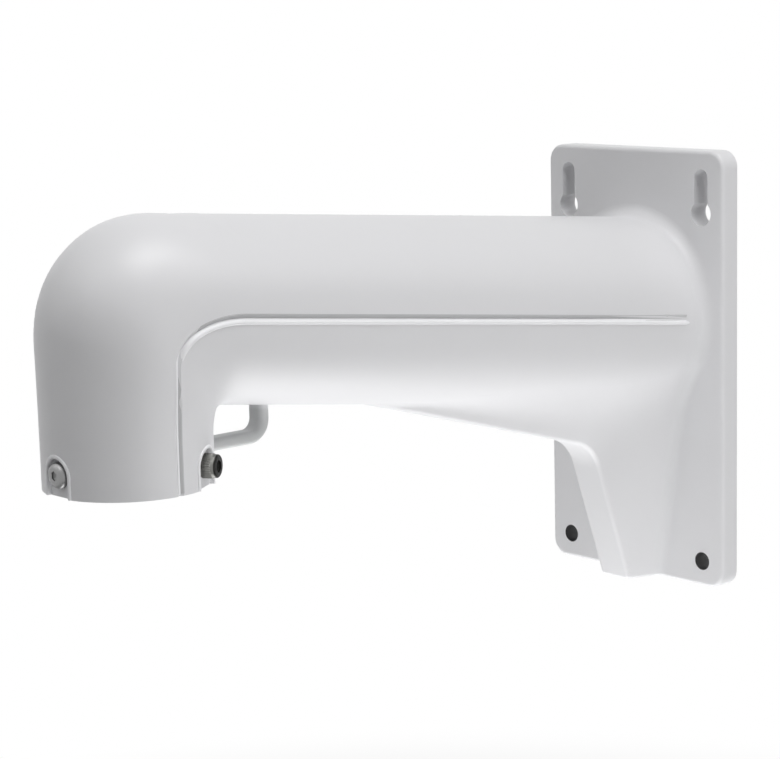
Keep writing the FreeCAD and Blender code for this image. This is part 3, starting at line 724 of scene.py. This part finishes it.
def groove_rings(outline, height, first, last, sink_in, sink_out):
    """Rings of one closed outline carried along a part of the groove on the arm's side.

    The outline gives distances across the groove, upwards, and heights above the side.
    Heights above it are multiplied by the given height, and depths under 1 mm by a share
    that grows from the plate, as the groove deepens. From both goes the side's own curve,
    the squared distance over twice its radius. The rings sink in over some rows at both ends.
    """
    over, out = outline[:, 0], outline[:, 1]
    path, across, half = (part[first:last] for part in groove_path())
    depth = np.clip((path[:, 0] - DEEPENS_FROM) / DEEPENS_OVER, LEAST_DEPTH, 1.0)[:, None]
    level = np.where(out > 0.0, out * height, out)[None, :]
    level = np.where((level < 0.0) & (level > -1.0), level * depth, level)
    row = np.arange(len(path))
    fade = np.minimum(np.minimum(row / sink_in, (row[-1] - row) / sink_out), 1.0)
    reach = half[:, None] + level - over[None, :] ** 2 / (2.0 * SIDE_CURVE_RADIUS)
    reach = reach - END_SINK * (1.0 - fade[:, None])
    points = path[:, None, :] + across[:, None, :] * over[None, :, None]
    return points + reach[:, :, None] * np.array([0.0, 1.0, 0.0])


def seat_rim_rings(width, height):
    """Rings of a half-round rim along a seat's outline: up one side, over the arch, down the
    other, wrapped on the socket's round side. The sine of the turn about the axis is the
    sideways distance over the socket's radius."""
    up = np.linspace(SIDE_START, SEAT_MIDDLE, SIDE_POINTS + 1)[:-1]
    turn = np.linspace(0.0, math.pi, ARCH_POINTS)
    straight, level = np.ones(SIDE_POINTS), np.zeros(SIDE_POINTS)
    out_u = np.concatenate([straight, np.cos(turn), -straight])
    out_v = np.concatenate([level, np.sin(turn), level])
    base_v = np.concatenate([up, np.full(ARCH_POINTS, SEAT_MIDDLE), up[::-1]])
    arc = np.linspace(-RIM_DIP, math.pi + RIM_DIP, SECTION_POINTS)
    across = 0.5 * width * (1.0 - np.cos(arc)) - RIM_OVERLAP
    above = height * np.sin(arc)
    across = np.concatenate([[across[0]], across, [across[-1]]])
    above = np.concatenate([[BELOW_SURFACE], above, [BELOW_SURFACE]])
    reach = SEAT_HALF_WIDTH + across
    side = out_u[:, None] * reach[None, :]
    high = base_v[:, None] + out_v[:, None] * reach[None, :]
    sine = side / SOCKET_RADIUS
    radius = SOCKET_RADIUS + np.repeat(above[None, :], len(side), axis=0)
    return np.stack([radius * np.sqrt(1.0 - sine ** 2), radius * sine, high], axis=-1)


# Outlines across the groove: distance upwards, and height above the arm's side
LIP_OUTLINE = np.array([
    [-0.05, BELOW_SURFACE], [-0.05, -0.82], [-0.4, -0.48], [-0.75, -0.05], [-1.05, 0.5],
    [-1.4, 0.95], [-1.75, 1.0], [-2.05, 0.7], [-2.3, 0.05], [-2.45, -0.4],
    [-2.45, BELOW_SURFACE],
])
GAP_OUTLINE = np.array([
    [-0.02, BELOW_SURFACE], [-0.02, -0.82], [0.4, -0.52], [0.8, -0.24], [1.1, -0.03],
    [1.3, 0.08], [1.5, 0.02], [1.7, -0.4], [1.7, BELOW_SURFACE],
])
FLAT_OUTLINE = np.array([
    [-0.1, BELOW_SURFACE], [-0.1, -0.5], [0.25, -0.1], [0.6, 0.12], [1.0, 0.12],
    [1.25, -0.4], [1.25, BELOW_SURFACE],
])

# The lips are painted lighter, as a painted highlight, and the gaps darker, as painted shade
# Name, outline, first row on the groove's path and the row after its last, and the rows over
# which it sinks in at its start and end
GROOVE_PARTS = (
    ("groove_lips", LIP_OUTLINE, 0, 121, 1.0, 11.0),
    ("groove_gaps", GAP_OUTLINE, 0, 112, 1.0, 14.0),
    ("socket_lips", FLAT_OUTLINE, 110, 134, 8.0, 0.5),
    ("socket_gaps", GAP_OUTLINE * np.array([-1.0, 1.0]), 110, 134, 8.0, 0.5),
)


def hexagon_radius(turn, across_flats):
    """Distance from the middle to a hexagon's side: half the width over the cosine of the
    angle from the middle of that side."""
    sixth = math.pi / 3.0
    return 0.5 * across_flats / np.cos((turn + sixth / 2.0) % sixth - sixth / 2.0)


def turned_screw(profile, across_flats, hex_depth, knurl, columns):
    """Points of a screw about +X from its tip to the bottom of its hexagon recess.

    Each row is a circle of the profile's radius at the profile's height. On the rows that the
    knurl marks with 1, the radius falls by the ridges' depth times a rounded saw of the turn.
    The last rows go from the round end face to the hexagon, down its walls and to a shallow
    cone.
    """
    turn = np.arange(columns) * 2.0 * math.pi / columns
    heights, radii = profile[:, 0], profile[:, 1]
    round_rows = np.repeat(radii[:, None], columns, axis=1)
    if knurl is not None:
        saw = np.abs(((turn * RIDGES / (2.0 * math.pi)) % 1.0) - 0.5) * 2.0
        saw = 1.0 - saw ** RIDGE_POWER
        round_rows = round_rows - RIDGE_DEPTH * knurl[:, None] * saw[None, :]
    top = heights[-1]
    hexagon = hexagon_radius(turn, across_flats)
    hex_shares = np.array([1.06, 1.0, 0.995, 0.9])
    hex_rows = hex_shares[:, None] * hexagon[None, :]
    hex_heights = top - np.array([0.0, KEY_CHAMFER, hex_depth, hex_depth])
    all_radii = np.vstack([round_rows, hex_rows])
    all_heights = np.concatenate([heights, hex_heights])
    x = np.repeat(all_heights[:, None], columns, axis=1)
    y = all_radii * np.cos(turn)[None, :]
    z = all_radii * np.sin(turn)[None, :]
    rows = np.stack([x, y, z], axis=-1)
    tip = np.array([[heights[0], 0.0, 0.0]])
    bottom = np.array([[top - hex_depth - KEY_CONE, 0.0, 0.0]])
    return np.vstack([tip, rows.reshape(-1, 3), bottom]), len(all_heights)


def place_screw(points, degrees):
    """The screw's points moved to its seat, which is turned about the socket's axis."""
    return turned(points + np.array([SEAT_FROM_AXIS, 0.0, SCREW_HEIGHT]), degrees, SOCKET_AXIS_X)


def shank_profile(radius, length):
    """Heights and radii of a threaded shank: a cut point, then crests and roots by turns."""
    count = int(length / (THREAD_PITCH / 2.0)) - 1
    steps = np.arange(count)
    heights = -length + 0.5 * MM + steps * THREAD_PITCH / 2.0
    radii = radius - THREAD_DEPTH * (steps % 2)
    start = np.array([[-length, radius - 0.6 * MM]])
    end = np.array([[-0.02 * MM, radius - 0.1 * MM]])
    return np.vstack([start, np.stack([heights, radii], axis=-1), end])


# Steps, one for each piece or group of like pieces

class BRACKET_OT_casting(bpy.types.Operator):
    """Gives the casting its powder coat"""

    bl_idname = "bracket.casting"
    bl_label = "Dress the casting"

    def execute(self, context):
        settings = context.scene.bracket_casting
        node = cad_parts["bracket_casting"]
        material = paint_material(settings)
        for slot in node.material_slots:
            slot.material = material
        return {"FINISHED"}


class BRACKET_OT_coves(bpy.types.Operator):
    """Makes the soft coves between the arm and the gusset, one on each side"""

    bl_idname = "bracket.coves"
    bl_label = "Make the soft coves"

    def execute(self, context):
        settings = context.scene.bracket_details
        rings = to_frame(cove_rings(settings.cove_reach / MM, settings.cove_drop / MM))
        points, quads, fans = carried(rings, True)
        piece = make_piece("gusset_coves", points, quads, fans, the_paint())
        return {"FINISHED"}


class BRACKET_OT_lips(bpy.types.Operator):
    """Makes the rounded lips of the grooves, painted lighter as a painted highlight, and the
    gaps, painted darker as painted shade, one of each on each side
    """

    bl_idname = "bracket.lips"
    bl_label = "Make the groove lips"

    def execute(self, context):
        settings = context.scene.bracket_details
        paint = context.scene.bracket_casting
        height = settings.lip_height / MM
        for name, outline, first, last, sink_in, sink_out in GROOVE_PARTS:
            rings = groove_rings(outline, height, first, last, sink_in, sink_out)
            # painted highlight on the lips, painted shade in the gaps
            shade = settings.lip_painted_highlight if name.endswith("lips") else settings.gap_painted_shade
            points, quads, fans = carried(to_frame(rings), True)
            piece = make_piece(name, points, quads, fans, paint_material(paint, name, shade))
        return {"FINISHED"}


class BRACKET_OT_rims(bpy.types.Operator):
    """Makes the rounded rims round the three seats of the screws, painted lighter as a painted
    highlight
    """

    bl_idname = "bracket.rims"
    bl_label = "Make the seat rims"

    def execute(self, context):
        sizes = context.scene.bracket_details
        rings = seat_rim_rings(sizes.rim_width / MM, sizes.rim_height / MM)
        points, quads, fans = joined([
            carried(to_frame(turned(rings, degrees, AXIS_X)), False) for degrees in SEAT_TURNS])
        # painted highlight on the rims
        paint = paint_material(context.scene.bracket_casting, "seat_rims", sizes.rim_painted_highlight)
        piece = make_piece("seat_rims", points, quads, fans, paint)
        return {"FINISHED"}


class BRACKET_OT_front_screw(bpy.types.Operator):
    """Makes the low domed screw at the front of the socket"""

    bl_idname = "bracket.front_screw"
    bl_label = "Make the front screw"

    def execute(self, context):
        sizes = context.scene.bracket_screws
        turn = np.linspace(0.0, 1.0, DOME_POINTS) * math.pi / 2.0
        foot = DOME_FOOT * sizes.button_height
        flat = DOME_FLAT * sizes.button_radius
        dome = np.stack([
            foot + (sizes.button_height - foot) * np.sin(turn),
            flat + (sizes.button_radius - flat) * np.cos(turn),
        ], axis=-1)
        edge = np.array([
            [0.0, sizes.button_radius - 0.25 * MM],
            [0.12 * MM, sizes.button_radius],
        ])
        shank = shank_profile(sizes.shank_radius, sizes.shank_length)
        profile = np.vstack([shank, edge, dome])
        points, rows = turned_screw(profile, FRONT_KEY, FRONT_KEY_DEPTH, None, FRONT_COLUMNS)
        points = place_screw(points, SEAT_TURNS[0])
        quads, fans = grid_faces(rows, FRONT_COLUMNS)
        piece = make_piece("front_screw", points, quads, fans,
                           steel_material("front_steel", sizes.steel, *FRONT_ROUGHNESS))
        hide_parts("front_button_screw")
        return {"FINISHED"}


class BRACKET_OT_side_screws(bpy.types.Operator):
    """Makes the two knurled cap screws at the socket's sides"""

    bl_idname = "bracket.side_screws"
    bl_label = "Make the side screws"

    def execute(self, context):
        sizes = context.scene.bracket_screws
        head = np.array([
            [0.0, sizes.cap_radius - 0.3 * MM],
            [0.3 * MM, sizes.cap_radius],
            [sizes.cap_height - 1.9 * MM, sizes.cap_radius],
            [sizes.cap_height - 1.7 * MM, sizes.cap_radius - 0.25 * MM],
            [sizes.cap_height - 0.65 * MM, sizes.cap_radius - 0.25 * MM],
            [sizes.cap_height - 0.35 * MM, sizes.cap_radius - 0.35 * MM],
            [sizes.cap_height - 0.1 * MM, sizes.cap_radius - 0.6 * MM],
            [sizes.cap_height, sizes.cap_radius - 0.95 * MM],
        ])
        shank = shank_profile(sizes.shank_radius, sizes.shank_length)
        profile = np.vstack([shank, head])
        knurl = np.zeros(len(profile))
        knurl[len(shank) + 1:len(shank) + 3] = 1.0
        points, rows = turned_screw(profile, SIDE_KEY, SIDE_KEY_DEPTH, knurl, SIDE_COLUMNS)
        quads, fans = grid_faces(rows, SIDE_COLUMNS)
        points, quads, fans = joined([
            (place_screw(points, degrees), quads, fans) for degrees in SEAT_TURNS[1:]])
        piece = make_piece("side_screws", points, quads, fans, dark_steel_material(sizes))
        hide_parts("side_cap_screws")
        return {"FINISHED"}


# The point that the lamps are aimed at and the floor fades around, in metres
ARM_POINT = (0.15, 0.0, 0.08)

# Name of each lamp, its degrees round from +X and up, its distance from that point, size, power
LAMPS = (
    ("key", 70.0, 68.0, 1.3, 0.6, 6.42),
    ("key_wall", 110.0, 68.0, 1.3, 0.6, 3.12),
    ("high_wall", 120.0, 45.0, 1.3, 0.8, 2.81),
    ("high_end", 0.0, 45.0, 1.3, 0.8, 2.5),
    ("high_far", -40.0, 45.0, 1.3, 0.8, 1.01),
    ("far", -40.0, 20.0, 1.3, 0.8, 1.1),
    ("side", 90.0, -8.0, 0.9, 0.6, 1.53),
    ("low_wall", 120.0, -18.0, 0.7, 0.3, 0.256),
    ("below", 0.0, -90.0, 0.32, 0.4, 1.0),
)

FLOOR_HALF = 6.0
FLOOR_COLOUR = (0.9, 0.9, 0.9, 1.0)
FLOOR_FADE = (0.25, 0.65)

# The camera, solved from the plate's edges and the socket: metres, degrees and millimetres
CAMERA_PLACE = (0.737686, 0.649403, 0.241656)
CAMERA_TARGET = (0.14986, 0.0, 0.092064)
CAMERA_ROLL = -1.3985
CAMERA_LENS = 106.42
CAMERA_SENSOR = 36.0


def lamp_place(azimuth, elevation, distance):
    """Point at a distance from ARM_POINT: along X the cosine of the azimuth times that of the
    elevation, along Y the sine of the azimuth times the cosine of the elevation, and up the
    sine of the elevation."""
    around, up = math.radians(azimuth), math.radians(elevation)
    way = Vector((math.cos(up) * math.cos(around), math.cos(up) * math.sin(around), math.sin(up)))
    return Vector(ARM_POINT) + distance * way


def aim(from_point, to_point, roll=0.0):
    """Matrix of an object that looks from one point to another along its own -Z."""
    back = (Vector(from_point) - Vector(to_point)).normalized()
    up = Vector((0.0, 0.0, 1.0))
    if abs(back.z) > 0.999:
        up = Vector((1.0, 0.0, 0.0))
    right = up.cross(back).normalized()
    up = back.cross(right)
    turned_right = right * math.cos(roll) + up * math.sin(roll)
    turned_up = up * math.cos(roll) - right * math.sin(roll)
    rotation = Matrix((turned_right, turned_up, back)).transposed().to_4x4()
    return Matrix.Translation(from_point) @ rotation


class BRACKET_OT_stage(bpy.types.Operator):
    """Makes the floor, the lamps, the white background and the camera"""

    bl_idname = "bracket.stage"
    bl_label = "Set the stage"

    def execute(self, context):
        settings = context.scene.bracket_stage
        scene = context.scene
        scene.view_settings.view_transform = "Standard"
        self.world(scene, settings)
        self.floor(scene, settings)
        for name, azimuth, elevation, distance, size, power in LAMPS:
            data = bpy.data.lights.new("lamp_" + name, "AREA")
            data.shape = "DISK"
            data.size = size
            data.energy = power
            lamp = bpy.data.objects.new("lamp_" + name, data)
            scene.collection.objects.link(lamp)
            lamp.matrix_world = aim(lamp_place(azimuth, elevation, distance), ARM_POINT)
            lamp.visible_camera = False
        self.camera(scene)
        return {"FINISHED"}

    def camera(self, scene):
        """The camera that took the photograph."""
        data = bpy.data.cameras.new("camera")
        data.sensor_width = CAMERA_SENSOR
        data.lens = CAMERA_LENS
        data.clip_start = 0.05
        data.clip_end = 20.0
        camera = bpy.data.objects.new("camera", data)
        scene.collection.objects.link(camera)
        camera.matrix_world = aim(CAMERA_PLACE, CAMERA_TARGET, math.radians(CAMERA_ROLL))
        scene.camera = camera

    def world(self, scene, settings):
        """White to the eye and in reflections, and a plain level as light."""
        world = bpy.data.worlds.new("studio")
        world.use_nodes = True
        tree = world.node_tree
        tree.nodes.clear()
        output = add_node(tree, "ShaderNodeOutputWorld")
        light = add_node(tree, "ShaderNodeBackground", Strength=settings.world_level)
        light.inputs["Color"].default_value = WHITE
        white = add_node(tree, "ShaderNodeBackground", Strength=1.0)
        white.inputs["Color"].default_value = WHITE
        mix = add_node(tree, "ShaderNodeMixShader")
        tree.links.new(self.seen_directly(tree), mix.inputs[0])
        tree.links.new(light.outputs[0], mix.inputs[1])
        tree.links.new(white.outputs[0], mix.inputs[2])
        tree.links.new(mix.outputs[0], output.inputs["Surface"])
        scene.world = world

    def seen_directly(self, tree):
        """1 for camera, mirror and glass rays, else 0."""
        path = add_node(tree, "ShaderNodeLightPath").outputs
        seen = math_node(tree, "MAXIMUM", path["Is Camera Ray"], path["Is Glossy Ray"])
        return math_node(tree, "MAXIMUM", seen, path["Is Transmission Ray"])

    def floor(self, scene, settings):
        """A wide pale floor that fades to white away from the bracket."""
        half = FLOOR_HALF
        mesh = bpy.data.meshes.new("floor")
        z = settings.floor_height
        corners = [(-half, -half, z), (half, -half, z), (half, half, z), (-half, half, z)]
        mesh.from_pydata(corners, [], [(0, 1, 2, 3)])
        floor = bpy.data.objects.new("floor", mesh)
        scene.collection.objects.link(floor)
        material, tree, shader = new_material("pale_floor")
        shader.inputs["Base Color"].default_value = FLOOR_COLOUR
        shader.inputs["Roughness"].default_value = 0.9
        shader.inputs["Specular IOR Level"].default_value = 0.0
        output = next(n for n in tree.nodes if n.type == "OUTPUT_MATERIAL")
        place = add_node(tree, "ShaderNodeTexCoord")
        middle = add_node(tree, "ShaderNodeVectorMath", operation="DISTANCE")
        middle.inputs[1].default_value = (ARM_POINT[0], ARM_POINT[1], z)
        tree.links.new(place.outputs["Object"], middle.inputs[0])
        fade = add_node(tree, "ShaderNodeMapRange")
        fade.interpolation_type = "SMOOTHSTEP"
        fade.inputs["From Min"].default_value = FLOOR_FADE[0]
        fade.inputs["From Max"].default_value = FLOOR_FADE[1]
        tree.links.new(middle.outputs["Value"], fade.inputs["Value"])
        seen = math_node(tree, "MULTIPLY", self.seen_directly(tree), fade.outputs["Result"])
        white = add_node(tree, "ShaderNodeEmission", Strength=1.0)
        white.inputs["Color"].default_value = WHITE
        mix = add_node(tree, "ShaderNodeMixShader")
        tree.links.new(seen, mix.inputs[0])
        tree.links.new(shader.outputs[0], mix.inputs[1])
        tree.links.new(white.outputs[0], mix.inputs[2])
        tree.links.new(mix.outputs[0], output.inputs["Surface"])
        mesh.materials.append(material)


class BRACKET_PT_panel(bpy.types.Panel):
    """Lists the bracket's settings and steps"""

    bl_idname = "BRACKET_PT_panel"
    bl_label = "Camera wall bracket"
    bl_space_type = "VIEW_3D"
    bl_region_type = "UI"
    bl_category = "Bracket"

    def draw(self, context):
        layout = self.layout
        scene = context.scene
        groups = (
            (scene.bracket_casting, ("bracket.casting",)),
            (scene.bracket_details, ("bracket.coves", "bracket.lips", "bracket.rims")),
            (scene.bracket_screws, ("bracket.front_screw", "bracket.side_screws")),
            (scene.bracket_stage, ("bracket.stage",)),
        )
        for settings, steps in groups:
            box = layout.box()
            for name in settings.__annotations__:
                box.prop(settings, name)
            for step in steps:
                box.operator(step)


CLASSES = (
    CastingSettings, DetailSettings, ScrewSettings, StageSettings,
    BRACKET_OT_casting, BRACKET_OT_coves, BRACKET_OT_lips, BRACKET_OT_rims,
    BRACKET_OT_front_screw, BRACKET_OT_side_screws, BRACKET_OT_stage, BRACKET_PT_panel,
)


def register():
    for item in CLASSES:
        bpy.utils.register_class(item)
    bpy.types.Scene.bracket_casting = PointerProperty(type=CastingSettings)
    bpy.types.Scene.bracket_details = PointerProperty(type=DetailSettings)
    bpy.types.Scene.bracket_screws = PointerProperty(type=ScrewSettings)
    bpy.types.Scene.bracket_stage = PointerProperty(type=StageSettings)


def unregister():
    del bpy.types.Scene.bracket_stage
    del bpy.types.Scene.bracket_screws
    del bpy.types.Scene.bracket_details
    del bpy.types.Scene.bracket_casting
    for item in reversed(CLASSES):
        bpy.utils.unregister_class(item)


def main():
    """Registers the steps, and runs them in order."""
    register()
    bpy.ops.bracket.casting()
    bpy.ops.bracket.coves()
    bpy.ops.bracket.lips()
    bpy.ops.bracket.rims()
    bpy.ops.bracket.front_screw()
    bpy.ops.bracket.side_screws()
    bpy.ops.bracket.stage()


if __name__ == "__main__":
    main()
